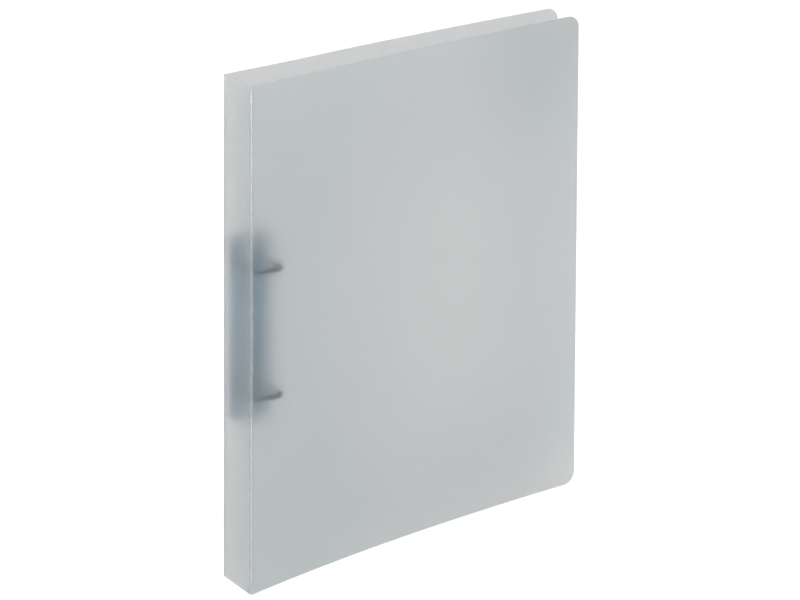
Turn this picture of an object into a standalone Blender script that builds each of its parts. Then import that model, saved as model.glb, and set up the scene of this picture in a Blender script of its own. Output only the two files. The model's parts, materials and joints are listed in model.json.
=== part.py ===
"""A4 two-ring binder: a frosted polypropylene cover with a steel D-ring mechanism.

Units are metres and +Z is up. The binder stands closed on its bottom edge. The
origin is on the bottom edge of the spine panel, at the middle of its width and of its
thickness. +X runs from the spine to the fore edge, and +Y from the front cover to the
back cover. Both fold axes are in the plane x = 0.

The cover is one sheet, scored along two folds. Each fold is a thin web, and the
panels stop short of it, so that they can turn about it. The ring mechanism is
riveted to the inside of the back cover, beside the spine.
"""
import math

import bmesh
import bpy
from mathutils import Vector

# Cover
HEIGHT = 0.318
SPINE_WIDTH = 0.0314
COVER_WIDTH = 0.2616
SHEET = 0.0008
CORNER_RADIUS = 0.008
TOE_IN = math.radians(0.93)
WEB_THICKNESS = 0.0006

# Clear gap between neighbouring pieces
GAP = 0.0003

# Ring mechanism. MECHANISM_X is the housing's middle, along the back cover from its
# fold. "Lift" is the height above the cover's inner face, and "reach" is the distance
# from the housing's middle, across the rings.
MECHANISM_LENGTH = 0.116
MECHANISM_X = 0.0155
MECHANISM_Z = 0.1582
HOUSING_WIDTH = 0.024
HOUSING_LIFT = 0.0062
HOUSING_STEEL = 0.0008
HOUSING_SHOULDER_LIFT = 0.0050
HOUSING_END_TAPER = 0.86
HOUSING_NECK_TAPER = 0.95
HOUSING_NECK_RUN = 0.0015
HOUSING_TAPER_RUN = 0.0045
CROWN_FLAT = 0.009
CROWN_RADIUS = 0.008
SHOULDER_RADIUS = 0.0024
LIP = 0.0018
LIP_RADIUS = 0.0009
RING_SPACING = 0.080
WIRE_RADIUS = 0.0015
TENON_RADIUS = 0.0009
TENON_LIFT = 0.0011
TENON_LENGTH = 0.0019
TENON_STEP = 0.00005
FOOT_REACH = 0.0086
FOOT_LIFT = 0.0042
FOOT_RADIUS = 0.004
WAIST_LIFT = 0.0105
WAIST_RADIUS = 0.006
CURVE_REACH = 0.0103
CURVE_RADIUS = 0.0110
STRAIGHT_REACH = 0.0113
STRAIGHT_CORNER_RADIUS = 0.0042
RING_TOP_LIFT = 0.0250
SPLIT_REACH = 0.0021
SLOT_REACH = 0.0096
SLOT_WIDTH = 0.0062
SLOT_HEIGHT = 0.0060
SLOT_LENGTH = 0.0044
RAIL_LENGTH = 0.092
RAIL_STEEL = 0.0010
RAIL_PIVOT_LIFT = 0.0022
RAIL_PIVOT_INSET = 0.0013
RAIL_TILT = math.radians(6.0)
RIVET_SPACING = 0.105
RIVET_SHANK_RADIUS = 0.0018
RIVET_POST_RADIUS = 0.0026
RIVET_HEAD_RADIUS = 0.0045
RIVET_HEAD_HEIGHT = 0.0010
RIVET_HEAD_RIM = 0.0002
RIVET_ROLL_RADIUS = 0.0032
RIVET_ROLL_HEIGHT = 0.0007
RIVET_BORE_RADIUS = 0.0011

# Length of the drills that pierce sheet metal and the cover
CUTTER_LENGTH = 0.005

# Smoothness
ARC_STEP = math.radians(11.0)
WIRE_SIDES = 14
ROUND_SIDES = 32
WEB_SIDES = 12
DOME_STEPS = 5
ROLL_STEPS = 8
FLAT_ANGLE = math.radians(35.0)

PANEL_START = WEB_THICKNESS / 2 + GAP
PIVOT_OFFSET = HOUSING_WIDTH / 2 - RAIL_PIVOT_INSET


def clear_scene():
    for obj in list(bpy.data.objects):
        bpy.data.objects.remove(obj, do_unlink=True)


def make_material(name, colour, roughness, metallic=0.0, transmission=0.0):
    material = bpy.data.materials.new(name)
    material.use_nodes = True
    shader = material.node_tree.nodes["Principled BSDF"]
    shader.inputs["Base Color"].default_value = (*colour, 1.0)
    shader.inputs["Roughness"].default_value = roughness
    shader.inputs["Metallic"].default_value = metallic
    shader.inputs["Transmission Weight"].default_value = transmission
    material.diffuse_color = (*colour, 1.0)
    return material


def add_object(name, mesh, parent=None, material=None):
    obj = bpy.data.objects.new(name, mesh)
    bpy.context.scene.collection.objects.link(obj)
    obj.parent = parent
    if material is not None:
        mesh.materials.append(material)
    return obj


def add_empty(name, location, turn=0.0, parent=None):
    """An unseen reference frame, such as a fold's or a pivot's axis along its Z."""
    empty = add_object(name, None, parent)
    empty.location = location
    empty.rotation_euler = (0.0, 0.0, turn)
    return empty


def mesh_from(bm, name, smooth_angle=None):
    bmesh.ops.recalc_face_normals(bm, faces=bm.faces)
    mesh = bpy.data.meshes.new(name)
    bm.to_mesh(mesh)
    bm.free()
    if smooth_angle is not None:
        mesh.shade_smooth()
        mesh.set_sharp_from_angle(angle=smooth_angle)
    return mesh


def prism(name, outline, direction, smooth_angle=None):
    """Solid made by extruding a closed planar outline along a vector."""
    bm = bmesh.new()
    face = bm.faces.new([bm.verts.new(point) for point in outline])
    grown = bmesh.ops.extrude_face_region(bm, geom=[face])
    moved = [item for item in grown["geom"] if isinstance(item, bmesh.types.BMVert)]
    bmesh.ops.translate(bm, verts=moved, vec=direction)
    return mesh_from(bm, name, smooth_angle)


def loft(name, sections, smooth_angle):
    """Solid through a row of closed sections with equally many points, capped at both ends."""
    bm = bmesh.new()
    loops = [[bm.verts.new(point) for point in section] for section in sections]
    for near, far in zip(loops, loops[1:]):
        count = len(near)
        for i in range(count):
            j = (i + 1) % count
            bm.faces.new((near[i], near[j], far[j], far[i]))
    bm.faces.new(loops[0])
    bm.faces.new(loops[-1])
    return mesh_from(bm, name, smooth_angle)


def rounded_path(corners, radii):
    """Polyline in a plane through corners, with each inner corner rounded to its radius."""
    points = [Vector(corners[0])]
    inner = zip(corners[:-2], corners[1:-1], corners[2:], radii)
    for before, corner, after, radius in inner:
        corner = Vector(corner)
        back = (Vector(before) - corner).normalized()
        ahead = (Vector(after) - corner).normalized()
        half_angle = back.angle(ahead) / 2
        turn = math.pi - 2 * half_angle
        bisector = (back + ahead).normalized()
        centre = corner + bisector * radius / math.sin(half_angle)
        start = corner + back * radius / math.tan(half_angle) - centre
        side = (-bisector * start.dot(-bisector) - start).normalized()
        out = start.normalized()
        steps = max(2, math.ceil(turn / ARC_STEP))
        across = (side - out * side.dot(out)).normalized()
        for i in range(steps + 1):
            angle = turn * i / steps
            points.append(centre + radius * (out * math.cos(angle) + across * math.sin(angle)))
    points.append(Vector(corners[-1]))
    return points


def wire(name, path, radii):
    """Round wire along a path in the X-Y plane, with a radius at each point."""
    sections = []
    last = len(path) - 1
    for i, (point, radius) in enumerate(zip(path, radii)):
        tangent = (path[min(i + 1, last)] - path[max(i - 1, 0)]).normalized()
        normal = Vector((tangent.y, -tangent.x, 0.0))
        section = []
        for k in range(WIRE_SIDES):
            angle = 2 * math.pi * k / WIRE_SIDES
            offset = normal * math.cos(angle) + Vector((0.0, 0.0, 1.0)) * math.sin(angle)
            section.append(point + offset * radius)
        sections.append(section)
    return loft(name, sections, FLAT_ANGLE)


def turned(name, profile):
    """Solid turned about the Y axis. The profile is (radius, y) and both its ends are on the axis."""
    bm = bmesh.new()
    points = [bm.verts.new((radius, y, 0.0)) for radius, y in profile]
    edges = [bm.edges.new(pair) for pair in zip(points, points[1:])]
    bmesh.ops.spin(
        bm,
        geom=points + edges,
        cent=(0.0, 0.0, 0.0),
        axis=(0.0, 1.0, 0.0),
        angle=2 * math.pi,
        steps=ROUND_SIDES,
    )
    bmesh.ops.remove_doubles(bm, verts=bm.verts, dist=0.00001)
    return mesh_from(bm, name, FLAT_ANGLE)


def cylinder_cutter(name, radius, length, centre, parent, along_y=True):
    bm = bmesh.new()
    bmesh.ops.create_cone(
        bm, cap_ends=True, segments=ROUND_SIDES, radius1=radius, radius2=radius, depth=length
    )
    cutter = add_object(name, mesh_from(bm, name), parent)
    cutter.location = centre
    if along_y:
        cutter.rotation_euler = (math.pi / 2, 0.0, 0.0)
    hide_cutter(cutter)
    return cutter


def box_cutter(name, size, centre, parent):
    bm = bmesh.new()
    bmesh.ops.create_cube(bm, size=1.0)
    bmesh.ops.scale(bm, vec=size, verts=bm.verts)
    cutter = add_object(name, mesh_from(bm, name), parent)
    cutter.location = centre
    hide_cutter(cutter)
    return cutter


def hide_cutter(cutter):
    cutter.hide_render = True
    cutter.display_type = "WIRE"


def cut(obj, cutter):
    modifier = obj.modifiers.new(cutter.name, "BOOLEAN")
    modifier.operation = "DIFFERENCE"
    modifier.solver = "EXACT"
    modifier.object = cutter


def cover_outline():
    """A cover's outline in its fold's frame: square at the fold, round at the fore edge."""
    fore = COVER_WIDTH
    corners = (
        (PANEL_START, 0.0, 0.0),
        (fore, 0.0, 0.0),
        (fore, 0.0, HEIGHT),
        (PANEL_START, 0.0, HEIGHT),
    )
    points = rounded_path(corners, (CORNER_RADIUS, CORNER_RADIUS))
    return [point - Vector((0.0, SHEET / 2, 0.0)) for point in points]


def build_cover(name, fold_axis, material):
    mesh = prism(name, cover_outline(), (0.0, SHEET, 0.0), FLAT_ANGLE)
    return add_object(name, mesh, fold_axis, material)


def build_spine(front_axis, material):
    """The spine panel, between the two folds."""
    half = SHEET / 2
    low = front_axis.location.y + PANEL_START
    high = -low
    outline = ((-half, low, 0.0), (half, low, 0.0), (half, high, 0.0), (-half, high, 0.0))
    mesh = prism("spine_panel", outline, (0.0, 0.0, HEIGHT))
    return add_object("spine_panel", mesh, None, material)


def build_fold(name, fold_axis, material):
    """The thin web of a fold, which is the hinge itself."""
    bm = bmesh.new()
    radius = WEB_THICKNESS / 2
    bmesh.ops.create_cone(
        bm, cap_ends=True, segments=WEB_SIDES, radius1=radius, radius2=radius, depth=HEIGHT
    )
    bmesh.ops.translate(bm, verts=bm.verts, vec=(0.0, 0.0, HEIGHT / 2))
    return add_object(name, mesh_from(bm, name, FLAT_ANGLE), fold_axis, material)


def housing_section():
    """Arched sheet section with lips turned in under both edges, in the mechanism's frame."""
    half = HOUSING_WIDTH / 2
    corners = (
        (half - LIP, GAP),
        (half, GAP),
        (half, HOUSING_SHOULDER_LIFT),
        (CROWN_FLAT / 2, HOUSING_LIFT),
    )
    left = [(-reach, -lift, 0.0) for reach, lift in corners]
    right = [(reach, -lift, 0.0) for reach, lift in reversed(corners)]
    radii = (LIP_RADIUS, SHOULDER_RADIUS, CROWN_RADIUS)
    outer = rounded_path(left + right, radii + radii[::-1])
    inner = []
    last = len(outer) - 1
    for i, point in enumerate(outer):
        tangent = (outer[min(i + 1, last)] - outer[max(i - 1, 0)]).normalized()
        inner.append(point + Vector((-tangent.y, tangent.x, 0.0)) * HOUSING_STEEL)
    return outer + inner[::-1]


def build_housing(mechanism, material):
    """The spring plate: it holds the rails, and its crown is riveted to the cover."""
    half = MECHANISM_LENGTH / 2
    tapered_end = (
        (-half, HOUSING_END_TAPER),
        (-half + HOUSING_NECK_RUN, HOUSING_NECK_TAPER),
        (-half + HOUSING_TAPER_RUN, 1.0),
    )
    stations = tapered_end + tuple((-z, factor) for z, factor in reversed(tapered_end))
    section = housing_section()
    sections = []
    for z, width_factor in stations:
        sections.append([Vector((point.x * width_factor, point.y, z)) for point in section])
    mesh = loft("mechanism_housing", sections, FLAT_ANGLE)
    housing = add_object("mechanism_housing", mesh, mechanism, material)
    for end in (-1, 1):
        centre = (0.0, -HOUSING_LIFT, end * RIVET_SPACING / 2)
        radius = RIVET_SHANK_RADIUS + GAP
        cut(housing, cylinder_cutter(f"rivet_hole_{end}", radius, CUTTER_LENGTH, centre, mechanism))
        for side in (-1, 1):
            centre = (side * SLOT_REACH, -HOUSING_LIFT, end * RING_SPACING / 2)
            size = (SLOT_WIDTH, SLOT_HEIGHT, SLOT_LENGTH)
            cut(housing, box_cutter(f"ring_slot_{end}_{side}", size, centre, mechanism))
    return housing


def build_rail(name, pivot, side, material):
    """A carrier rail: its outer edge is on the pivot axis, and side points to its inner edge."""
    width = (PIVOT_OFFSET - GAP / 2) / math.cos(RAIL_TILT)
    across = Vector((side * math.cos(RAIL_TILT), math.sin(RAIL_TILT), 0.0))
    normal = Vector((-across.y, across.x, 0.0)) * RAIL_STEEL / 2
    base = Vector((0.0, 0.0, -RAIL_LENGTH / 2))
    outline = [
        base + normal,
        base - normal,
        base + across * width - normal,
        base + across * width + normal,
    ]
    mesh = prism(name, outline, (0.0, 0.0, RAIL_LENGTH))
    return add_object(name, mesh, pivot, material)


def ring_path(side):
    """A half ring's centre line: a wide curve on the spine's side, a straight leg on the other."""
    waist, top_radius = {
        -1: (CURVE_REACH, CURVE_RADIUS),
        1: (STRAIGHT_REACH, STRAIGHT_CORNER_RADIUS),
    }[side]
    corners = (
        (side * FOOT_REACH, -TENON_LIFT, 0.0),
        (side * FOOT_REACH, -FOOT_LIFT, 0.0),
        (side * waist, -WAIST_LIFT, 0.0),
        (side * waist, -RING_TOP_LIFT, 0.0),
        (SPLIT_REACH + side * GAP / 2, -RING_TOP_LIFT, 0.0),
    )
    return rounded_path(corners, (FOOT_RADIUS, WAIST_RADIUS, top_radius))


def ring_wire(name, side, pivot, end, material):
    """One half ring, from the tenon in its rail to the tip where the halves meet."""
    origin = pivot.location
    path = [point - Vector((origin.x, origin.y, 0.0)) for point in ring_path(side)]
    shoulder = path[0] - Vector((0.0, TENON_LENGTH, 0.0))
    tenon_end = shoulder + Vector((0.0, TENON_STEP, 0.0))
    stations = [path[0], tenon_end, shoulder] + path[1:]
    thickness = [TENON_RADIUS, TENON_RADIUS] + [WIRE_RADIUS] * (len(stations) - 2)
    ring = add_object(name, wire(name, stations, thickness), pivot, material)
    ring.location = (0.0, 0.0, end * RING_SPACING / 2)
    return ring


def build_rings(pivots, rails, material, mechanism):
    """Both rings: a curved half on the spine side and a straight half on the fore side."""
    for end, level in ((1, "upper"), (-1, "lower")):
        for side, shape in ((-1, "curved"), (1, "straight")):
            ring_wire(f"{level}_ring_{shape}_half", side, pivots[side], end, material)
            centre = (side * FOOT_REACH, -RAIL_PIVOT_LIFT, end * RING_SPACING / 2)
            radius = TENON_RADIUS + GAP
            name = f"tenon_hole_{level}_{shape}"
            cut(rails[side], cylinder_cutter(name, radius, CUTTER_LENGTH, centre, mechanism))


def rivet_dome(outside):
    """The head's profile, from its crown on the axis down to its rim."""
    rim = outside + RIVET_HEAD_RIM
    rise = RIVET_HEAD_HEIGHT - RIVET_HEAD_RIM
    points = [(0.0, rim + rise)]
    for i in range(1, DOME_STEPS + 1):
        angle = math.pi / 2 * i / DOME_STEPS
        points.append((RIVET_HEAD_RADIUS * math.sin(angle), rim + rise * math.cos(angle)))
    return points


def rivet_roll(over_crown):
    """The rolled end's profile, from its outer edge over the roll to the floor of its bore."""
    middle = (RIVET_ROLL_RADIUS + RIVET_BORE_RADIUS) / 2
    half = (RIVET_ROLL_RADIUS - RIVET_BORE_RADIUS) / 2
    points = []
    for i in range(ROLL_STEPS + 1):
        angle = math.pi * i / ROLL_STEPS
        height = RIVET_ROLL_HEIGHT * math.sin(angle)
        points.append((middle + half * math.cos(angle), over_crown - height))
    points.append((0.0, over_crown))
    return points


def build_rivet(name, end, mechanism, material):
    """A shouldered rivet: domed head outside the cover, post up to the crown, rolled end on it."""
    outside = SHEET + GAP
    under_crown = -(HOUSING_LIFT - HOUSING_STEEL - GAP)
    over_crown = -(HOUSING_LIFT + GAP)
    body = [
        (RIVET_HEAD_RADIUS, outside),
        (RIVET_SHANK_RADIUS, outside),
        (RIVET_SHANK_RADIUS, -GAP),
        (RIVET_POST_RADIUS, -GAP),
        (RIVET_POST_RADIUS, under_crown),
        (RIVET_SHANK_RADIUS, under_crown),
        (RIVET_SHANK_RADIUS, over_crown),
    ]
    profile = rivet_dome(outside) + body + rivet_roll(over_crown)
    rivet = add_object(name, turned(name, profile), mechanism, material)
    rivet.location = (0.0, 0.0, end * RIVET_SPACING / 2)
    return rivet


def build_mechanism(back_axis, back_cover, materials):
    """The ring mechanism on the inner face of the back cover."""
    place = (MECHANISM_X, -SHEET / 2, MECHANISM_Z)
    mechanism = add_empty("mechanism_frame", place, parent=back_axis)
    build_housing(mechanism, materials["housing"])
    pivots = {}
    rails = {}
    for side, name in ((-1, "spine_side"), (1, "fore_side")):
        place = (side * PIVOT_OFFSET, -RAIL_PIVOT_LIFT, 0.0)
        pivots[side] = add_empty(f"{name}_pivot", place, parent=mechanism)
        rails[side] = build_rail(f"{name}_rail", pivots[side], -side, materials["rail"])
    build_rings(pivots, rails, materials["ring"], mechanism)
    for end, name in ((1, "upper_rivet"), (-1, "lower_rivet")):
        build_rivet(name, end, mechanism, materials["rivet"])
        centre = (0.0, SHEET / 2, end * RIVET_SPACING / 2)
        radius = RIVET_SHANK_RADIUS + GAP
        cut(back_cover, cylinder_cutter(f"{name}_hole", radius, CUTTER_LENGTH, centre, mechanism))


def build_materials():
    return {
        "front": make_material("frosted_sheet_front", (0.56, 0.60, 0.60), 0.45, transmission=0.5),
        "spine": make_material("frosted_sheet_spine", (0.58, 0.61, 0.62), 0.45, transmission=0.5),
        "back": make_material("frosted_sheet_back", (0.58, 0.61, 0.62), 0.45, transmission=0.5),
        "fold": make_material("clear_fold", (0.74, 0.77, 0.77), 0.25, transmission=0.7),
        "housing": make_material("plated_housing", (0.46, 0.48, 0.50), 0.28, 1.0),
        "rail": make_material("plated_rail", (0.42, 0.43, 0.45), 0.35, 1.0),
        "ring": make_material("plated_wire", (0.40, 0.43, 0.45), 0.20, 1.0),
        "rivet": make_material("plated_rivet", (0.55, 0.56, 0.57), 0.30, 1.0),
    }


def build_binder():
    clear_scene()
    materials = build_materials()
    side = (SPINE_WIDTH - SHEET) / 2
    front_axis = add_empty("front_fold_axis", (0.0, -side, 0.0), TOE_IN)
    back_axis = add_empty("back_fold_axis", (0.0, side, 0.0), -TOE_IN)
    build_cover("front_cover", front_axis, materials["front"])
    back_cover = build_cover("back_cover", back_axis, materials["back"])
    build_spine(front_axis, materials["spine"])
    build_fold("front_fold", front_axis, materials["fold"])
    build_fold("back_fold", back_axis, materials["fold"])
    build_mechanism(back_axis, back_cover, materials)


build_binder()
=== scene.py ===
import json
import math

import bmesh
import bpy
from mathutils import Matrix, Vector


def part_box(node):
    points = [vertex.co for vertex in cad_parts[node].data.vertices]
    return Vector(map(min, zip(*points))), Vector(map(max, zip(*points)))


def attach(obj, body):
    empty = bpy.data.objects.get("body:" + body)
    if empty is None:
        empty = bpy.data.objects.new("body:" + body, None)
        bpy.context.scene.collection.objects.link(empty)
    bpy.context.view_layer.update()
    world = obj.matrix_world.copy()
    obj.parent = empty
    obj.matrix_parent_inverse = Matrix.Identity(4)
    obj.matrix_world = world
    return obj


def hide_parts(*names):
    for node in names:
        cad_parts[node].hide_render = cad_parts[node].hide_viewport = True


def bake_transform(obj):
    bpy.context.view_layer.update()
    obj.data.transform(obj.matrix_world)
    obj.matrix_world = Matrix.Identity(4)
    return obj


# A two-ring binder: a bowed sheet of frosted polypropylene round a plated steel ring mechanism.
# Everything is in metres, in the frame of the CAD model. "Lift" is a height above the inner face
# of the back cover, and "reach" is a distance from the middle of the housing, across the rings.

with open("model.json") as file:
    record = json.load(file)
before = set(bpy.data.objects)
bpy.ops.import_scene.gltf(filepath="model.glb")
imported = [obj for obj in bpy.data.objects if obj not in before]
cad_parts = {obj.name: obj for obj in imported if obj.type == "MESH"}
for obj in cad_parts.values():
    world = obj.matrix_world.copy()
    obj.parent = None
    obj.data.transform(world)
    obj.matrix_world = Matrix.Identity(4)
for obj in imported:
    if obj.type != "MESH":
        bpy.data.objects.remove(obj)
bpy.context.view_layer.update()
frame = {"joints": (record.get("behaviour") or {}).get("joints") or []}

JOINTS = {joint["name"]: joint for joint in frame["joints"]}
FRONT_AXIS = Vector(JOINTS["front_cover_fold"]["pos_m"])
BACK_AXIS = Vector(JOINTS["spine_fold"]["pos_m"])
SPINE_BOX = [Vector(corner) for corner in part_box("spine_panel")]
COVER_BOX = [Vector(corner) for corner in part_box("front_cover")]
HOUSING_BOX = [Vector(corner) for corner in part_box("mechanism_housing")]
RAIL_BOX = [Vector(corner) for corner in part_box("spine_side_rail")]
RING_BOX = [Vector(corner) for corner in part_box("upper_ring_curved_half")]

HEIGHT = SPINE_BOX[1].z
SHEET = SPINE_BOX[1].x - SPINE_BOX[0].x
# The sheet's faces stay a few microns inside the CAD model's.
HALF_SHEET = SHEET / 2 - 0.000006
COVER_RUN = COVER_BOX[1].x - FRONT_AXIS.x
TOE_IN = math.asin((COVER_BOX[1].y - COVER_BOX[0].y - SHEET) / COVER_RUN)
COVER_WIDTH = COVER_RUN / math.cos(TOE_IN) - SHEET * math.sin(TOE_IN)

# The cover
CORNER_RADIUS = 0.008
EDGE_BEVEL = 0.00014
EDGE_ANGLE = math.radians(50.0)
SEAM = 0.00001
SCORE_REACH = 0.0026
SCORE_LINES = ((0.00105, 0.00024, 1.0), (0.00205, 0.00020, 0.7))
SCORE_DEPTH = 0.00011
SCORE_STEPS = 18
FOLD_REACH = 0.00065
FOLD_RADIUS = 0.00040
FOLD_STEPS = 12
WEB = 0.00045
WHITE_REACH = {"spine": 0.00030, "cover": 0.00165}
MARKS = ("crease", "white", "groove", "spine_share")
FRONT_BOW_TOP = 0.0017
FRONT_BOW_BOTTOM = 0.0056
FRONT_LEAN = 0.0019
FRONT_SKEW = 0.0008
BACK_BOW = 0.0021
BACK_FLAT = 0.030
SHEET_ROWS = 56
SPINE_COLUMNS = 12
PANEL_COLUMNS = 40
CORNER_STEPS = 10

# The sheet's finish and painted shade. A patch is its centre and its reach, each along the cover
# and up it, the share of the way in from its rim at which it is full, and its strength there.
# A broad patch in the middle of the cover, lighter in colour.
LIGHTER_PATCH = ((0.60 * COVER_WIDTH, 0.49 * HEIGHT), (0.112, 0.200), 0.75, 0.88)
# Painted shade: the top fore corner of the cover is painted darker.
SHADED_CORNER = ((0.97 * COVER_WIDTH, 0.95 * HEIGHT), (0.090, 0.085), 1.0, 1.0)
BOTTOM_BAND = (0.045, 0.006)
BOTTOM_SPAN = (0.1 * COVER_WIDTH, COVER_WIDTH)
FROST = (0.33, 0.70)
FROST_SPREAD = (0.42, 0.55)
GRAIN_WAVES = 2600.0
GRAIN_DEPTH = 0.000006
FLOW_WAVES = 160.0
FLOW_DEPTH = 0.00004
CLOUD_WAVES = 11.0
SCORE_SHADE = 0.90
POLISH = 0.11
SHEET_CLEAR = 0.985
WHITENING = 0.20
SHEET_IOR = 1.44

# The plated steel
BRUSH_WAVES = 5200.0
BRUSH_DEPTH = 0.000012
PLATE_CLOUD_WAVES = 90.0
RUBBED = 1.35
EVENLY = (1.0, 1.0, 1.0)

# The mechanism
MECHANISM_Z = (HOUSING_BOX[0].z + HOUSING_BOX[1].z) / 2
MECHANISM_LENGTH = HOUSING_BOX[1].z - HOUSING_BOX[0].z
RAIL_LENGTH = RAIL_BOX[1].z - RAIL_BOX[0].z
# The CAD wire has flat sides, so its box is a little narrower than the round wire.
WIRE_RADIUS = (RING_BOX[1].z - RING_BOX[0].z) / 2 * 1.012
RING_SPACING = RING_BOX[0].z + RING_BOX[1].z - 2 * MECHANISM_Z
MECHANISM_X = 0.0155
HOUSING_WIDTH = 0.024
HOUSING_LIFT = 0.0062
HOUSING_STEEL = 0.0008
CROWN_FLAT = 0.009
SHOULDER_DROP = 0.0012
LIP = 0.0018
FOOT_GAP = 0.0003
LIP_RADIUS = 0.0009
SHOULDER_RADIUS = 0.0024
CROWN_RADIUS = 0.008
TAPER_RUN = 0.0045
TAPER_NARROW = 0.86
TAPER_STEPS = 8
HOUSING_HOLE = 0.0021
HOUSING_EDGE = 0.00012
SLOT_LENGTH = 0.0062
SLOT_WIDTH = 0.0044
SLOT_DEPTH = 0.0060
SLOT_REACH = 0.0096
SLOT_STEPS = 24
TENON_LIFT = 0.0011
TENON_LENGTH = 0.0019
TENON_RADIUS = 0.0009
TENON_PLAY = 0.00012
FOOT_REACH = 0.0086
FOOT_LIFT = 0.0042
FOOT_RADIUS = 0.004
WAIST_LIFT = 0.0105
WAIST_RADIUS = 0.006
CURVE_REACH = 0.0103
CURVE_RADIUS = 0.0110
STRAIGHT_REACH = 0.0113
STRAIGHT_CORNER_RADIUS = 0.0042
RING_TOP_LIFT = 0.0250
SPLIT_REACH = 0.0021
SPLIT_GAP = 0.00008
TIP_ROUND = 0.00022
TIP_STEPS = 4
RAIL_STEEL = 0.0010
RAIL_EDGE = 0.00018
RAIL_PIVOT_LIFT = 0.0022
RAIL_PIVOT_REACH = 0.0107
RAIL_TILT = math.radians(6.0)
RIVET_SPACING = 0.105
RIVET_SHANK = 0.0019
RIVET_POST = 0.0026
RIVET_HEAD = 0.0045
RIVET_HEAD_HEIGHT = 0.0010
RIVET_HEAD_RIM = 0.0002
RIVET_ROLL = 0.0025
RIVET_ROLL_RADIUS = 0.0007
RIVET_ROLL_HEIGHT = 0.0008
RIVET_BORE = 0.0014
RIVET_PLAY = 0.00005
RIVET_STEPS = 12

PUNCH_HALF = 0.003
ARC_STEP = math.radians(4.0)
WIRE_SIDES = 40
ROUND_SIDES = 72

# The camera stands where a shift lens keeps the binder's upright edges upright.
CAMERA_PLACE = (-0.9566, -1.4839, 0.8673)
CAMERA_YAW = math.radians(-35.94)
CAMERA_PITCH = math.radians(-3.16)
CAMERA_ROLL = math.radians(0.19)
CAMERA_LENS = 131.17
CAMERA_SHIFT = {"shift_x": 0.0034, "shift_y": -1.1922}

# The studio. A light is its place, its size, its power and its colour.
AIM = (0.1, 0.0, 0.16)
SKY_LOW = (0.60, 0.605, 0.61)
SKY_HIGH = (0.72, 0.725, 0.73)
FLOOR_DROP = 0.0002
LIGHTS = {
    "key": ((-2.0, -0.7, 0.38), (0.9, 0.7), 10.5, (1.0, 0.99, 0.98)),
    "back_fill": ((-1.3, 1.9, 0.30), (1.2, 0.6), 3.5, (1.0, 1.0, 1.0)),
    "strip": ((-0.70, -0.416, 0.06), (1.0, 0.03), 2.4, (1.0, 1.0, 1.0)),
    "fill": ((1.4, -2.2, 0.8), (1.2, 1.0), 12.0, (0.98, 0.99, 1.0)),
}


# ---------------------------------------------------------------- shapes

def smooth(share):
    share = min(1.0, max(0.0, share))
    return share * share * (3 - 2 * share)


def rounded_path(corners, radii):
    """Polyline in a plane through corners, with each inner corner rounded to its radius."""
    points = [Vector(corners[0])]
    for before, corner, after, radius in zip(corners[:-2], corners[1:-1], corners[2:], radii):
        corner = Vector(corner)
        back = (Vector(before) - corner).normalized()
        ahead = (Vector(after) - corner).normalized()
        half_angle = back.angle(ahead) / 2
        turn = math.pi - 2 * half_angle
        centre = corner + (back + ahead).normalized() * radius / math.sin(half_angle)
        out = (corner + back * radius / math.tan(half_angle) - centre).normalized()
        far = (corner + ahead * radius / math.tan(half_angle) - centre).normalized()
        across = (far - out * far.dot(out)).normalized()
        steps = max(3, math.ceil(turn / ARC_STEP))
        for i in range(steps + 1):
            angle = turn * i / steps
            points.append(centre + radius * (out * math.cos(angle) + across * math.sin(angle)))
    points.append(Vector(corners[-1]))
    return points


def new_piece(name, bm, material, smooth_angle=40.0):
    bmesh.ops.recalc_face_normals(bm, faces=bm.faces)
    mesh = bpy.data.meshes.new(name)
    bm.to_mesh(mesh)
    bm.free()
    mesh.materials.append(material)
    mesh.shade_smooth()
    mesh.set_sharp_from_angle(angle=math.radians(smooth_angle))
    piece = bpy.data.objects.new(name, mesh)
    bpy.context.scene.collection.objects.link(piece)
    return piece


def settle(piece):
    """Applies a piece's modifiers and its place to its mesh, so that the mesh is final."""
    bpy.context.view_layer.update()
    graph = bpy.context.evaluated_depsgraph_get()
    final = bpy.data.meshes.new_from_object(piece.evaluated_get(graph))
    final.transform(piece.matrix_world)
    piece.modifiers.clear()
    piece.data = final
    piece.parent = None
    piece.matrix_world = Matrix.Identity(4)
    return piece


def bevel(piece, width, segments, angle):
    modifier = piece.modifiers.new("edge", "BEVEL")
    modifier.width = width
    modifier.segments = segments
    modifier.limit_method = "ANGLE"
    modifier.angle_limit = math.radians(angle)


def loft(name, sections, material, smooth_angle=40.0):
    """Closed solid through a row of sections with equally many points."""
    bm = bmesh.new()
    loops = [[bm.verts.new(point) for point in section] for section in sections]
    for near, far in zip(loops, loops[1:]):
        for i in range(len(near)):
            j = (i + 1) % len(near)
            bm.faces.new((near[i], near[j], far[j], far[i]))
    bm.faces.new(loops[0])
    bm.faces.new(loops[-1])
    return new_piece(name, bm, material, smooth_angle)


def turned(name, profile, material):
    """Solid turned about the Y axis from (radius, y) points that start and end on the axis."""
    bm = bmesh.new()
    first, last = (bm.verts.new((0.0, profile[end][1], 0.0)) for end in (0, -1))
    rings = []
    for radius, y in profile[1:-1]:
        ring = []
        for i in range(ROUND_SIDES):
            angle = 2 * math.pi * i / ROUND_SIDES
            ring.append(bm.verts.new((radius * math.cos(angle), y, radius * math.sin(angle))))
        rings.append(ring)
    for i in range(ROUND_SIDES):
        j = (i + 1) % ROUND_SIDES
        bm.faces.new((first, rings[0][i], rings[0][j]))
        bm.faces.new((last, rings[-1][i], rings[-1][j]))
        for near, far in zip(rings, rings[1:]):
            bm.faces.new((near[i], near[j], far[j], far[i]))
    return new_piece(name, bm, material)


# ---------------------------------------------------------------- materials

def material_nodes(name):
    material = bpy.data.materials.new(name)
    material.use_nodes = True
    tree = material.node_tree
    return material, tree, tree.nodes["Principled BSDF"]


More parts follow.
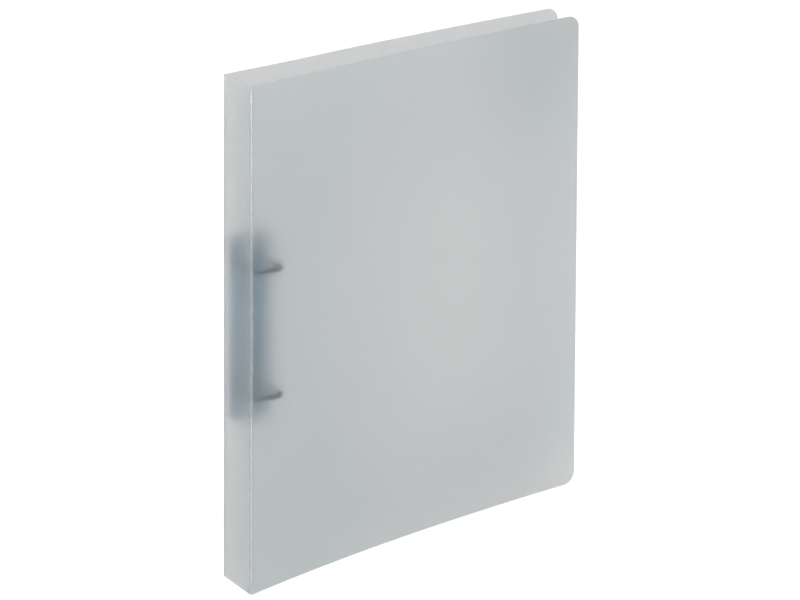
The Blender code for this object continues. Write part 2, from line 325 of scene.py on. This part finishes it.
def noise(tree, scale, stretch=(1.0, 1.0, 1.0), detail=3.0, roughness=0.5, place=None):
    """Noise over a place in metres, or over the object's own; scale is in waves a metre."""
    if place is None:
        place = tree.nodes.new("ShaderNodeTexCoord").outputs["Object"]
    mapping = tree.nodes.new("ShaderNodeMapping")
    mapping.inputs["Scale"].default_value = stretch
    texture = tree.nodes.new("ShaderNodeTexNoise")
    texture.inputs["Scale"].default_value = scale
    texture.inputs["Detail"].default_value = detail
    texture.inputs["Roughness"].default_value = roughness
    tree.links.new(place, mapping.inputs["Vector"])
    tree.links.new(mapping.outputs["Vector"], texture.inputs["Vector"])
    return texture.outputs["Fac"]


def ranged(tree, value, low, high, from_low=0.3, from_high=0.7):
    node = tree.nodes.new("ShaderNodeMapRange")
    node.inputs["From Min"].default_value = from_low
    node.inputs["From Max"].default_value = from_high
    node.inputs["To Min"].default_value = low
    node.inputs["To Max"].default_value = high
    tree.links.new(value, node.inputs["Value"])
    return node.outputs["Result"]


def blended(tree, factor, value, number):
    """A value that turns into a plain number as the factor rises from 0 to 1."""
    node = tree.nodes.new("ShaderNodeMix")
    tree.links.new(factor, node.inputs["Factor"])
    tree.links.new(value, node.inputs["A"])
    node.inputs["B"].default_value = number
    return node.outputs["Result"]


def calculated(tree, operation, first, second):
    node = tree.nodes.new("ShaderNodeMath")
    node.operation = operation
    tree.links.new(first, node.inputs[0])
    tree.links.new(second, node.inputs[1])
    return node.outputs["Value"]


def mixed(tree, factor, low, high):
    node = tree.nodes.new("ShaderNodeMix")
    node.data_type = "RGBA"
    tree.links.new(factor, node.inputs["Factor"])
    for socket, colour in ((node.inputs["A"], low), (node.inputs["B"], high)):
        if isinstance(colour, tuple):
            socket.default_value = (*colour, 1.0)
        else:
            tree.links.new(colour, socket)
    return node.outputs["Result"]


def bumped(tree, height, distance, strength=1.0, under=None):
    node = tree.nodes.new("ShaderNodeBump")
    node.inputs["Distance"].default_value = distance
    node.inputs["Strength"].default_value = strength
    tree.links.new(height, node.inputs["Height"])
    if under is not None:
        tree.links.new(under, node.inputs["Normal"])
    return node.outputs["Normal"]


def marked(tree, name, output="Fac"):
    node = tree.nodes.new("ShaderNodeAttribute")
    node.attribute_name = name
    return node.outputs[output]


def patch(tree, place, centre, reach, full, strength):
    """A share that falls from its strength near a centre on the cover to 0 at its reach."""
    mapping = tree.nodes.new("ShaderNodeMapping")
    mapping.vector_type = "TEXTURE"
    mapping.inputs["Location"].default_value = (centre[0], 0.0, centre[1])
    mapping.inputs["Scale"].default_value = (reach[0], 1.0, reach[1])
    ball = tree.nodes.new("ShaderNodeTexGradient")
    ball.gradient_type = "SPHERICAL"
    tree.links.new(place, mapping.inputs["Vector"])
    tree.links.new(mapping.outputs["Vector"], ball.inputs["Vector"])
    return ranged(tree, ball.outputs["Fac"], 0.0, strength, 0.0, full)


def bottom_share(tree, place):
    """A share that rises to 1 at the bottom edge, most of all towards the fore edge."""
    split = tree.nodes.new("ShaderNodeSeparateXYZ")
    tree.links.new(place, split.inputs["Vector"])
    along = ranged(tree, split.outputs["X"], 0.0, 1.0, *BOTTOM_SPAN)
    low = ranged(tree, split.outputs["Z"], 0.0, 1.0, *BOTTOM_BAND)
    return calculated(tree, "MULTIPLY", along, low)


def frosted(name, pale, deep, lighter_tint, corner_shade, spine):
    """Frosted polypropylene: see-through but milky, with a fine moulded grain and faint clouds.

    It is lighter in colour in a broad patch in the middle of the cover and along its bottom edge.
    Painted light lightens it towards the back fold and painted shade darkens its top fore corner.
    It is polished and whitened along the creases, and darker in the score lines, which bend the
    light away.
    """
    material, tree, shader = material_nodes(name)
    rest = marked(tree, "rest_place", "Vector")
    clouds = ranged(tree, noise(tree, CLOUD_WAVES, (1.0, 1.0, 0.6), place=rest), 0.0, 1.0)
    tint = mixed(tree, clouds, deep, pale)
    middle = patch(tree, rest, *LIGHTER_PATCH)
    # The cover is lighter in colour in the middle patch and along its bottom edge.
    clear = calculated(tree, "MAXIMUM", middle, bottom_share(tree, rest))
    tint = mixed(tree, clear, tint, lighter_tint)
    # Painted shade darkens the top fore corner.
    tint = mixed(tree, patch(tree, rest, *SHADED_CORNER), tint, corner_shade)
    # Painted light lightens the spine towards the back fold.
    tint = mixed(tree, marked(tree, "spine_share"), tint, spine)
    scored = tuple(SCORE_SHADE * channel for channel in deep)
    groove = marked(tree, "groove")
    tree.links.new(mixed(tree, groove, tint, scored), shader.inputs["Base Color"])
    crease = marked(tree, "crease")
    speckle = noise(tree, GRAIN_WAVES, detail=1.0, place=rest)
    haze = ranged(tree, speckle, *FROST, *FROST_SPREAD)
    tree.links.new(blended(tree, crease, haze, POLISH), shader.inputs["Roughness"])
    white = marked(tree, "white")
    milk = ranged(tree, white, SHEET_CLEAR, SHEET_CLEAR - WHITENING, 0.0, 1.0)
    tree.links.new(milk, shader.inputs["Transmission Weight"])
    flow = noise(tree, FLOW_WAVES, (1.0, 1.0, 0.25), place=rest)
    grain = noise(tree, GRAIN_WAVES, detail=2.0, place=rest)
    wave = bumped(tree, flow, FLOW_DEPTH, 0.5)
    tree.links.new(bumped(tree, grain, GRAIN_DEPTH, 0.6, wave), shader.inputs["Normal"])
    shader.inputs["IOR"].default_value = SHEET_IOR
    return material


def plated(name, dark, light, roughness, along=(1.0, 1.0, 0.05)):
    """Plated steel: brushed along the strip, a little cloudy, brighter where edges are rubbed."""
    material, tree, shader = material_nodes(name)
    shader.inputs["Metallic"].default_value = 1.0
    clouds = ranged(tree, noise(tree, PLATE_CLOUD_WAVES), 0.0, 1.0)
    brush = noise(tree, BRUSH_WAVES, along, detail=4.0)
    tone = mixed(tree, clouds, dark, light)
    geometry = tree.nodes.new("ShaderNodeNewGeometry")
    rub = ranged(tree, geometry.outputs["Pointiness"], 0.0, 0.6, 0.52, 0.60)
    rubbed = tuple(min(1.0, RUBBED * channel) for channel in light)
    tree.links.new(mixed(tree, rub, tone, rubbed), shader.inputs["Base Color"])
    satin = ranged(tree, brush, roughness - 0.06, roughness + 0.08)
    tree.links.new(satin, shader.inputs["Roughness"])
    tree.links.new(bumped(tree, brush, BRUSH_DEPTH, 0.5), shader.inputs["Normal"])
    return material


MATERIALS = {
    # The covers are one sheet: the front's tints are the sheet's own faint tint darkened with
    # painted shade.
    "front": frosted(
        "frosted_front",
        pale=(0.885, 0.925, 0.925),
        deep=(0.865, 0.905, 0.905),
        lighter_tint=(0.975, 0.98, 0.982),
        corner_shade=(0.795, 0.835, 0.835),
        spine=(1.0, 1.0, 1.0),
    ),
    "back": frosted(
        "frosted_back",
        pale=(0.985, 0.99, 0.995),
        deep=(0.965, 0.97, 0.975),
        lighter_tint=(0.985, 0.99, 0.995),
        corner_shade=(0.965, 0.97, 0.975),
        spine=(1.0, 1.0, 1.0),
    ),
    "housing": plated("nickel_housing", (0.067, 0.182, 0.275), (0.102, 0.23, 0.333), 0.30),
    "rail": plated("zinc_rail", (0.26, 0.29, 0.32), (0.33, 0.36, 0.39), 0.38),
    # Painted shade: the ring wire's nickel is painted nearly black, for the shade it lies in behind
    # the sheet.
    "ring": plated("nickel_wire_painted_shade", (0.02, 0.06, 0.09), (0.035, 0.085, 0.12), 0.22, EVENLY),
    "rivet": plated("nickel_rivet", (0.50, 0.52, 0.54), (0.58, 0.60, 0.62), 0.28, EVENLY),
}


# ---------------------------------------------------------------- the sheet

class Cover:
    """A cover's own directions: along it from its fold, out of the binder, and how it bows."""

    def __init__(self, axis, side, bow):
        self.axis = Vector((axis.x, axis.y, 0.0))
        self.side = side
        self.along = Vector((math.cos(TOE_IN), -side * math.sin(TOE_IN), 0.0))
        self.out = Vector((math.sin(TOE_IN), side * math.cos(TOE_IN), 0.0))
        self.bow = bow


def front_bow(run, z):
    """The front cover hangs inwards, most of all along its bottom edge."""
    share = run / COVER_WIDTH
    arch = 4 * share * (1 - share)
    low = 1 - z / HEIGHT
    sag = FRONT_BOW_TOP + (FRONT_BOW_BOTTOM - FRONT_BOW_TOP) * low * low
    skew = FRONT_SKEW * arch * (1 - 2 * share) * low * low
    return -(sag * arch + skew + FRONT_LEAN * share * low)


def back_bow(run, _z):
    """The back cover bulges outwards beyond the stiff strip that carries the mechanism."""
    share = min(1.0, max(0.0, (run - BACK_FLAT) / (COVER_WIDTH - BACK_FLAT)))
    return BACK_BOW * 4 * share * (1 - share) * smooth(share / 0.3)


def groove_depth(distance):
    """Depth of the score lines pressed beside a fold, at a distance from its outer corner."""
    depth = 0.0
    for centre, half_width, share in SCORE_LINES:
        depth += SCORE_DEPTH * share * math.exp(-(((distance - centre) / half_width) ** 2))
    return depth


def web_thickness(distance):
    """The sheet is thinner at a fold, where it was creased from the inside."""
    return WEB + (SHEET - WEB) * smooth((distance - FOLD_REACH) / (SCORE_REACH - FOLD_REACH))


def leg_station(corner, along, out, distance):
    """Outer and inner point of the flat sheet at a distance from a fold's outer corner."""
    face = corner + along * distance
    outer = face - out * groove_depth(distance)
    return outer, face - out * web_thickness(distance), distance


def corner_curve(start, corner, end, radius):
    """FOLD_STEPS + 1 points from start to end round a corner, spaced evenly along the way."""
    path = rounded_path((start, corner, end), (radius,))
    lengths = [0.0]
    for near, far in zip(path, path[1:]):
        lengths.append(lengths[-1] + (far - near).length)
    points = []
    for i in range(FOLD_STEPS + 1):
        wanted = lengths[-1] * i / FOLD_STEPS
        k = max(j for j in range(len(path) - 1) if lengths[j] <= wanted + 1e-12)
        share = (wanted - lengths[k]) / (lengths[k + 1] - lengths[k])
        points.append(path[k].lerp(path[k + 1], min(1.0, share)))
    return points


def fold_stations(cover):
    """(outer point, inner point, distance past the fold) from the spine's side to the cover."""
    inward = Vector((0.0, -cover.side, 0.0))
    spine_out = Vector((-1.0, 0.0, 0.0))
    bend = (1 - spine_out.dot(cover.out)) / spine_out.cross(cover.out).length
    corner = cover.axis + spine_out * HALF_SHEET - inward * HALF_SHEET * bend
    distances = [
        SCORE_REACH + (FOLD_REACH - SCORE_REACH) * i / SCORE_STEPS for i in range(SCORE_STEPS + 1)
    ]
    spine_leg = [leg_station(corner, inward, spine_out, distance) for distance in distances]
    cover_leg = [leg_station(corner, cover.along, cover.out, distance) for distance in distances]
    outer = corner_curve(spine_leg[-1][0], corner, cover_leg[-1][0], FOLD_RADIUS)
    inner_corner = corner - (spine_out + cover.out) * WEB
    inner = corner_curve(spine_leg[-1][1], inner_corner, cover_leg[-1][1], FOLD_RADIUS / 3)
    middle = FOLD_STEPS / 2
    turn = [FOLD_REACH * (i - middle) / middle for i in range(FOLD_STEPS + 1)]
    before = [(out, into, -distance) for out, into, distance in spine_leg[:-1]]
    return before + list(zip(outer, inner, turn)) + cover_leg[-2::-1]


def fold_marks(distance):
    """How far the sheet is polished, whitened and scored at a distance past the fold."""
    white_reach = WHITE_REACH["cover"] if distance > 0 else WHITE_REACH["spine"]
    crease = smooth(1.6 * (1 - abs(distance) / FOLD_REACH))
    white = smooth(1.6 * (1 - abs(distance) / white_reach))
    return crease, white, groove_depth(abs(distance)) / SCORE_DEPTH, 0.0


def cover_runs():
    """Distances from the fold where the panel has a column: even, then round the fore corners."""
    straight = COVER_WIDTH - CORNER_RADIUS
    first = SCORE_REACH
    runs = [first + (straight - first) * i / PANEL_COLUMNS for i in range(1, PANEL_COLUMNS + 1)]
    for i in range(1, CORNER_STEPS + 1):
        runs.append(straight + CORNER_RADIUS * math.sin(math.pi / 2 * i / CORNER_STEPS))
    return runs


def corner_cut(run):
    """How far the top and bottom edges draw in at this distance, for the rounded fore corners."""
    beyond = max(0.0, run - (COVER_WIDTH - CORNER_RADIUS)) / CORNER_RADIUS
    return CORNER_RADIUS * (1 - math.sqrt(max(0.0, 1 - beyond * beyond)))


def sheet_solid(name, columns, material, seam_y):
    """Thin closed sheet with rubbed edges. A column is (cut, marks, z to outer and inner point).

    The marks are the column's values for the material, as MARKS names them. The sheet's end at
    seam_y meets the other stretch of the same sheet, so its edges stay square.
    """
    bm = bmesh.new()
    layers = [bm.verts.layers.float.new(mark) for mark in MARKS]
    rest = bm.verts.layers.float_vector.new("rest_place")
    outer, inner = [], []
    for cut, marks, place in columns:
        heights = [cut + (HEIGHT - 2 * cut) * i / SHEET_ROWS for i in range(SHEET_ROWS + 1)]
        pairs = [place(z) for z in heights]
        outer.append([bm.verts.new(pair[0]) for pair in pairs])
        inner.append([bm.verts.new(pair[1]) for pair in pairs])
        for vert in outer[-1] + inner[-1]:
            vert[rest] = vert.co
            for layer, value in zip(layers, marks):
                vert[layer] = value
    for grid in (outer, inner):
        for near, far in zip(grid, grid[1:]):
            for i in range(SHEET_ROWS):
                bm.faces.new((near[i], near[i + 1], far[i + 1], far[i]))
    for end in (0, -1):
        for i in range(SHEET_ROWS):
            bm.faces.new((outer[end][i], outer[end][i + 1], inner[end][i + 1], inner[end][i]))
        for i in range(len(columns) - 1):
            bm.faces.new((outer[i][end], outer[i + 1][end], inner[i + 1][end], inner[i][end]))
    bm.edges.ensure_lookup_table()
    weight = bm.edges.layers.float.new("bevel_weight_edge")
    for edge in bm.edges:
        at_seam = all(abs(vert.co.y - seam_y) < SEAM for vert in edge.verts)
        if not at_seam and edge.calc_face_angle(0.0) > EDGE_ANGLE:
            edge[weight] = 1.0
    piece = new_piece(name, bm, material, 35.0)
    modifier = piece.modifiers.new("rubbed_edge", "BEVEL")
    modifier.width = EDGE_BEVEL
    modifier.segments = 2
    modifier.limit_method = "WEIGHT"
    return settle(piece)


def fixed_column(outer, inner, marks):
    return 0.0, marks, lambda z: (outer + Vector((0.0, 0.0, z)), inner + Vector((0.0, 0.0, z)))


def cover_column(cover, run):
    """A column of the cover panel, with the bow it has at that distance from the fold."""

    def place(z):
        middle = cover.axis + cover.along * run + cover.out * cover.bow(run, z)
        middle += Vector((0.0, 0.0, z))
        return middle + cover.out * HALF_SHEET, middle - cover.out * HALF_SHEET

    return corner_cut(run), (0.0, 0.0, 0.0, 0.0), place


def cover_columns(cover):
    columns = []
    for outer, inner, distance in fold_stations(cover):
        columns.append(fixed_column(outer, inner, fold_marks(distance)))
    return columns + [cover_column(cover, run) for run in cover_runs()]


def spine_columns(first, last):
    """Columns of the flat spine panel, from y = first towards y = last, which is left out."""
    half = Vector((-HALF_SHEET, 0.0, 0.0))
    columns = []
    for i in range(SPINE_COLUMNS):
        middle = Vector((0.0, first + (last - first) * i / SPINE_COLUMNS, 0.0))
        marks = (0.0, 0.0, 0.0, 1 - i / SPINE_COLUMNS)
        columns.append(fixed_column(middle + half, middle - half, marks))
    return columns


def join_at_fold(piece):
    """Applies a piece's place to its mesh."""
    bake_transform(piece)


def build_front_sheet(material):
    """The front cover, its fold and the spine, which are one stretch of the sheet."""
    cover = Cover(FRONT_AXIS, -1, front_bow)
    seam = BACK_AXIS.y - SCORE_REACH - SEAM
    columns = spine_columns(seam, FRONT_AXIS.y + SCORE_REACH) + cover_columns(cover)
    piece = sheet_solid("front_sheet", columns, material, seam)
    join_at_fold(piece)
    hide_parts("front_cover", "front_fold", "spine_panel")


def build_back_sheet(material):
    """The back cover and its fold, which meets the spine beside a score line."""
    cover = Cover(BACK_AXIS, 1, back_bow)
    columns = cover_columns(cover)
    piece = sheet_solid("back_sheet", columns, material, columns[0][-1](0.0)[0].y)
    cutters = []
    for end in (-1, 1):
        cutter = hole_cutter(RIVET_SHANK + RIVET_PLAY, (0.0, 0.0, end * RIVET_SPACING / 2))
        cutter.matrix_world = MECHANISM
        cutters.append(cutter)
    punch(piece, cutters)
    settle(piece)
    drop(cutters)
    join_at_fold(piece)
    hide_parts("back_cover", "back_fold")


# ---------------------------------------------------------------- the mechanism

BACK_TURN = Matrix.Rotation(-TOE_IN, 4, "Z")
BACK_PLACE = Matrix.Translation(Vector((BACK_AXIS.x, BACK_AXIS.y, 0.0))) @ BACK_TURN
MECHANISM = BACK_PLACE @ Matrix.Translation((MECHANISM_X, -SHEET / 2, MECHANISM_Z))


def placed(piece, body, node):
    """Sets a piece made in the mechanism's own frame into the binder, on its body."""
    settle(piece)
    piece.data.transform(MECHANISM)
    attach(piece, body)
    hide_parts(node)


def housing_section():
    """Arched sheet section with lips turned in under both edges."""
    half = HOUSING_WIDTH / 2
    shoulder = HOUSING_LIFT - SHOULDER_DROP
    outer = rounded_path(
        (
            (-half + LIP, -FOOT_GAP, 0.0),
            (-half, -FOOT_GAP, 0.0),
            (-half, -shoulder, 0.0),
            (-CROWN_FLAT / 2, -HOUSING_LIFT, 0.0),
            (CROWN_FLAT / 2, -HOUSING_LIFT, 0.0),
            (half, -shoulder, 0.0),
            (half, -FOOT_GAP, 0.0),
            (half - LIP, -FOOT_GAP, 0.0),
        ),
        (LIP_RADIUS, SHOULDER_RADIUS, CROWN_RADIUS, CROWN_RADIUS, SHOULDER_RADIUS, LIP_RADIUS),
    )
    inner = []
    last = len(outer) - 1
    for i, point in enumerate(outer):
        tangent = (outer[min(i + 1, last)] - outer[max(i - 1, 0)]).normalized()
        inner.append(point + Vector((-tangent.y, tangent.x, 0.0)) * HOUSING_STEEL)
    return outer + inner[::-1]


def slot_cutter(side, end):
    """Round-ended punch for the slot that a ring's foot comes out of."""
    radius = SLOT_WIDTH / 2
    inner_end = radius - SLOT_LENGTH / 2
    outer_end = SLOT_LENGTH / 2 + 0.001
    outline = []
    for i in range(SLOT_STEPS + 1):
        angle = math.pi / 2 + math.pi * i / SLOT_STEPS
        outline.append((inner_end + radius * math.cos(angle), radius * math.sin(angle)))
    outline += [(outer_end, -radius), (outer_end, radius)]
    middle = end * RING_SPACING / 2
    sections = []
    for lift in (HOUSING_LIFT - SLOT_DEPTH / 2, HOUSING_LIFT + SLOT_DEPTH / 2):
        section = []
        for reach, z in outline:
            section.append(Vector((side * (SLOT_REACH + reach), -lift, middle + z)))
        sections.append(section)
    return loft(f"slot_{side}_{end}", sections, MATERIALS["housing"])


def hole_cutter(radius, centre):
    sections = []
    for y in (-PUNCH_HALF, PUNCH_HALF):
        section = []
        for i in range(ROUND_SIDES):
            angle = 2 * math.pi * i / ROUND_SIDES
            offset = Vector((radius * math.cos(angle), y, radius * math.sin(angle)))
            section.append(Vector(centre) + offset)
        sections.append(section)
    return loft("hole", sections, MATERIALS["housing"])


def punch(piece, cutters):
    for cutter in cutters:
        modifier = piece.modifiers.new("punch", "BOOLEAN")
        modifier.operation = "DIFFERENCE"
        modifier.solver = "EXACT"
        modifier.object = cutter


def drop(cutters):
    for cutter in cutters:
        bpy.data.objects.remove(cutter, do_unlink=True)


def build_housing():
    """The spring plate, with drawn-in ends, round-ended ring slots and a rivet hole at each end."""
    section = housing_section()
    half = MECHANISM_LENGTH / 2
    stations = []
    for i in range(TAPER_STEPS + 1):
        share = i / TAPER_STEPS
        narrow = TAPER_NARROW + (1 - TAPER_NARROW) * math.sqrt(1 - (1 - share) ** 2)
        stations.append((-half + TAPER_RUN * share, narrow))
    stations += [(-z, narrow) for z, narrow in reversed(stations)]
    sections = []
    for z, narrow in stations:
        sections.append([Vector((point.x * narrow, point.y, z)) for point in section])
    housing = loft("housing_plate", sections, MATERIALS["housing"], 30.0)
    cutters = []
    for end in (-1, 1):
        centre = (0.0, -HOUSING_LIFT, end * RIVET_SPACING / 2)
        cutters.append(hole_cutter(HOUSING_HOLE, centre))
        cutters += [slot_cutter(side, end) for side in (-1, 1)]
    punch(housing, cutters)
    bevel(housing, HOUSING_EDGE, 2, 55.0)
    placed(housing, "back", "mechanism_housing")
    drop(cutters)


def build_rail(name, side, body, node):
    """A carrier rail, its outer edge on the pivot and its inner edge beside the other rail's."""
    width = (RAIL_PIVOT_REACH - FOOT_GAP / 2) / math.cos(RAIL_TILT)
    across = Vector((-side * math.cos(RAIL_TILT), math.sin(RAIL_TILT), 0.0))
    normal = Vector((-across.y, across.x, 0.0)) * RAIL_STEEL / 2
    edge = Vector((side * RAIL_PIVOT_REACH, -RAIL_PIVOT_LIFT, 0.0))
    sections = []
    for z in (-RAIL_LENGTH / 2, RAIL_LENGTH / 2):
        base = edge + Vector((0.0, 0.0, z))
        far = base + across * width
        sections.append([base + normal, base - normal, far - normal, far + normal])
    rail = loft(name, sections, MATERIALS["rail"])
    cutters = []
    for end in (-1, 1):
        centre = (side * FOOT_REACH, -RAIL_PIVOT_LIFT, end * RING_SPACING / 2)
        cutters.append(hole_cutter(TENON_RADIUS + TENON_PLAY, centre))
    punch(rail, cutters)
    bevel(rail, RAIL_EDGE, 3, 40.0)
    placed(rail, body, node)
    drop(cutters)


def ring_path(side):
    """A half ring's centre line: a wide curve on the spine side, straight on the fore side."""
    waist, radius = {
        -1: (CURVE_REACH, CURVE_RADIUS),
        1: (STRAIGHT_REACH, STRAIGHT_CORNER_RADIUS),
    }[side]
    corners = (
        (side * FOOT_REACH, -TENON_LIFT, 0.0),
        (side * FOOT_REACH, -FOOT_LIFT, 0.0),
        (side * waist, -WAIST_LIFT, 0.0),
        (side * waist, -RING_TOP_LIFT, 0.0),
        (SPLIT_REACH + side * SPLIT_GAP / 2, -RING_TOP_LIFT, 0.0),
    )
    return rounded_path(corners, (FOOT_RADIUS, WAIST_RADIUS, radius))


def build_half_ring(name, side, end, body, node):
    """Round wire on its centre line, with a tenon at the foot and a rounded tip."""
    path = ring_path(side)
    shoulder = path[0] - Vector((0.0, TENON_LENGTH, 0.0))
    stations = [
        (path[0] + Vector((0.0, 0.00025, 0.0)), TENON_RADIUS * 1.18),
        (path[0], TENON_RADIUS * 1.25),
        (path[0] - Vector((0.0, 0.00030, 0.0)), TENON_RADIUS),
        (shoulder + Vector((0.0, 0.00010, 0.0)), TENON_RADIUS),
        (shoulder, WIRE_RADIUS * 0.88),
        (shoulder - Vector((0.0, 0.00018, 0.0)), WIRE_RADIUS),
    ]
    stations += [(point, WIRE_RADIUS) for point in path[1:-1]]
    to_tip = (path[-1] - path[-2]).normalized()
    tip = path[-1]
    for i in range(TIP_STEPS + 1):
        angle = math.pi / 2 * i / TIP_STEPS
        back = to_tip * TIP_ROUND * (1 - math.sin(angle))
        stations.append((tip - back, WIRE_RADIUS - TIP_ROUND * (1 - math.cos(angle))))
    sections = []
    last = len(stations) - 1
    centre = Vector((0.0, 0.0, end * RING_SPACING / 2))
    for i, (point, radius) in enumerate(stations):
        ahead = stations[min(i + 1, last)][0] - stations[max(i - 1, 0)][0]
        tangent = to_tip if i >= last - TIP_STEPS else ahead.normalized()
        normal = Vector((tangent.y, -tangent.x, 0.0))
        section = []
        for k in range(WIRE_SIDES):
            angle = 2 * math.pi * k / WIRE_SIDES
            offset = normal * math.cos(angle) + Vector((0.0, 0.0, 1.0)) * math.sin(angle)
            section.append(centre + point + offset * radius)
        sections.append(section)
    ring = loft(name, sections, MATERIALS["ring"], 35.0)
    placed(ring, body, node)


def build_rivet(name, end, node):
    """Shouldered rivet: low dome outside the cover, post up to the crown, rolled end on top."""
    outside = SHEET + 0.00006
    rim = outside + RIVET_HEAD_RIM
    under = -(HOUSING_LIFT - HOUSING_STEEL - RIVET_PLAY)
    over = -(HOUSING_LIFT + RIVET_PLAY)
    profile = [(0.0, rim + RIVET_HEAD_HEIGHT)]
    for i in range(1, RIVET_STEPS + 1):
        angle = math.pi / 2 * i / RIVET_STEPS
        dome = rim + RIVET_HEAD_HEIGHT * math.cos(angle)
        profile.append((RIVET_HEAD * math.sin(angle), dome))
    profile += [
        (RIVET_HEAD, outside),
        (RIVET_SHANK, outside),
        (RIVET_SHANK, -RIVET_PLAY),
        (RIVET_POST, -RIVET_PLAY),
        (RIVET_POST, under),
        (RIVET_SHANK, under),
        (RIVET_SHANK, over),
    ]
    for i in range(RIVET_STEPS + 1):
        angle = math.pi * i / RIVET_STEPS
        roll = over - RIVET_ROLL_HEIGHT * math.sin(angle) ** 0.8
        profile.append((RIVET_ROLL + RIVET_ROLL_RADIUS * math.cos(angle), roll))
    profile += [(RIVET_BORE, over + 0.0004), (0.0, over + 0.0005)]
    rivet = turned(name, profile, MATERIALS["rivet"])
    rivet.location = (0.0, 0.0, end * RIVET_SPACING / 2)
    bpy.context.view_layer.update()
    placed(rivet, "back", node)


def build_mechanism():
    build_housing()
    sides = (
        (-1, "curved", "spine_side", "spine_side_carrier"),
        (1, "straight", "fore_side", "fore_side_carrier"),
    )
    for side, shape, place, body in sides:
        build_rail(f"{place}_plate", side, body, f"{place}_rail")
        for end, level in ((1, "upper"), (-1, "lower")):
            node = f"{level}_ring_{shape}_half"
            build_half_ring(f"{level}_{shape}_wire", side, end, body, node)
    for end, level in ((1, "upper"), (-1, "lower")):
        build_rivet(f"{level}_rivet_turned", end, f"{level}_rivet")


# ---------------------------------------------------------------- stage

def camera_only(tree, seen, unseen):
    """A closure that the camera sees as one shader and every other ray as another."""
    path = tree.nodes.new("ShaderNodeLightPath")
    mix = tree.nodes.new("ShaderNodeMixShader")
    tree.links.new(path.outputs["Is Camera Ray"], mix.inputs["Fac"])
    tree.links.new(unseen, mix.inputs[1])
    tree.links.new(seen, mix.inputs[2])
    return mix.outputs["Shader"]


def build_world():
    """Soft surround: white to the camera, and to other rays a grey that lightens upwards."""
    world = bpy.data.worlds.new("studio")
    bpy.context.scene.world = world
    world.use_nodes = True
    tree = world.node_tree
    tree.nodes.clear()
    white = tree.nodes.new("ShaderNodeBackground")
    white.inputs["Color"].default_value = (1.0, 1.0, 1.0, 1.0)
    sky = tree.nodes.new("ShaderNodeBackground")
    place = tree.nodes.new("ShaderNodeTexCoord")
    split = tree.nodes.new("ShaderNodeSeparateXYZ")
    tree.links.new(place.outputs["Generated"], split.inputs["Vector"])
    rise = ranged(tree, split.outputs["Z"], 0.0, 1.0, -0.2, 0.9)
    tree.links.new(mixed(tree, rise, SKY_LOW, SKY_HIGH), sky.inputs["Color"])
    output = tree.nodes.new("ShaderNodeOutputWorld")
    closure = camera_only(tree, white.outputs["Background"], sky.outputs["Background"])
    tree.links.new(closure, output.inputs["Surface"])


def lit_surface(tree, shade, glow):
    """A diffuse surface of one grey with a little light of its own."""
    matt = tree.nodes.new("ShaderNodeBsdfDiffuse")
    matt.inputs["Color"].default_value = (shade, shade, shade, 1.0)
    own = tree.nodes.new("ShaderNodeEmission")
    own.inputs["Strength"].default_value = glow
    both = tree.nodes.new("ShaderNodeAddShader")
    tree.links.new(matt.outputs["BSDF"], both.inputs[0])
    tree.links.new(own.outputs["Emission"], both.inputs[1])
    return both.outputs["Shader"]


def build_floor():
    """Pale floor: near white to the camera with a contact shadow, mid grey to other rays."""
    bm = bmesh.new()
    bmesh.ops.create_grid(bm, x_segments=1, y_segments=1, size=30.0)
    material, tree, shader = material_nodes("pale_floor")
    tree.nodes.remove(shader)
    output = tree.nodes["Material Output"]
    closure = camera_only(tree, lit_surface(tree, 0.80, 0.62), lit_surface(tree, 0.40, 0.335))
    tree.links.new(closure, output.inputs["Surface"])
    floor = new_piece("floor", bm, material)
    floor.location = (0.0, 0.0, -FLOOR_DROP)


def add_light(name, place, size, power, colour):
    data = bpy.data.lights.new(name, "AREA")
    data.shape = "RECTANGLE"
    data.size, data.size_y = size
    data.energy = power
    data.color = colour
    light = bpy.data.objects.new(name, data)
    bpy.context.scene.collection.objects.link(light)
    light.location = place
    aim = Vector(AIM) - Vector(place)
    light.rotation_euler = aim.to_track_quat("-Z", "Y").to_euler()


def build_lights():
    for name, light in LIGHTS.items():
        add_light(name, *light)


def build_camera():
    """The photograph's station. Its lens shift holds only there, so other views look straight."""
    data = bpy.data.cameras.new("camera")
    camera = bpy.data.objects.new("camera", data)
    bpy.context.scene.collection.objects.link(camera)
    data.sensor_width = 36.0
    data.lens = CAMERA_LENS
    data.clip_start, data.clip_end = 0.05, 60.0
    cos_pitch = math.cos(CAMERA_PITCH)
    forward = Vector(
        (
            -math.sin(CAMERA_YAW) * cos_pitch,
            math.cos(CAMERA_YAW) * cos_pitch,
            math.sin(CAMERA_PITCH),
        )
    )
    level = Vector((math.cos(CAMERA_YAW), math.sin(CAMERA_YAW), 0.0))
    above = level.cross(forward)
    right = level * math.cos(CAMERA_ROLL) + above * math.sin(CAMERA_ROLL)
    up = above * math.cos(CAMERA_ROLL) - level * math.sin(CAMERA_ROLL)
    turn = Matrix((right, up, -forward)).transposed().to_4x4()
    camera.matrix_world = Matrix.Translation(CAMERA_PLACE) @ turn
    for name, value in CAMERA_SHIFT.items():
        driver = data.driver_add(name).driver
        driver.type = "SCRIPTED"
        variable = driver.variables.new()
        variable.name = "place"
        variable.type = "TRANSFORMS"
        variable.targets[0].id = camera
        variable.targets[0].transform_type = "LOC_X"
        driver.expression = f"{value} if abs(place - {CAMERA_PLACE[0]}) < 0.001 else 0"
    bpy.context.scene.camera = camera


# ---------------------------------------------------------------- assembly

build_front_sheet(MATERIALS["front"])
build_back_sheet(MATERIALS["back"])
build_mechanism()
build_world()
build_floor()
build_lights()
build_camera()
bpy.context.scene.view_settings.view_transform = "Standard"
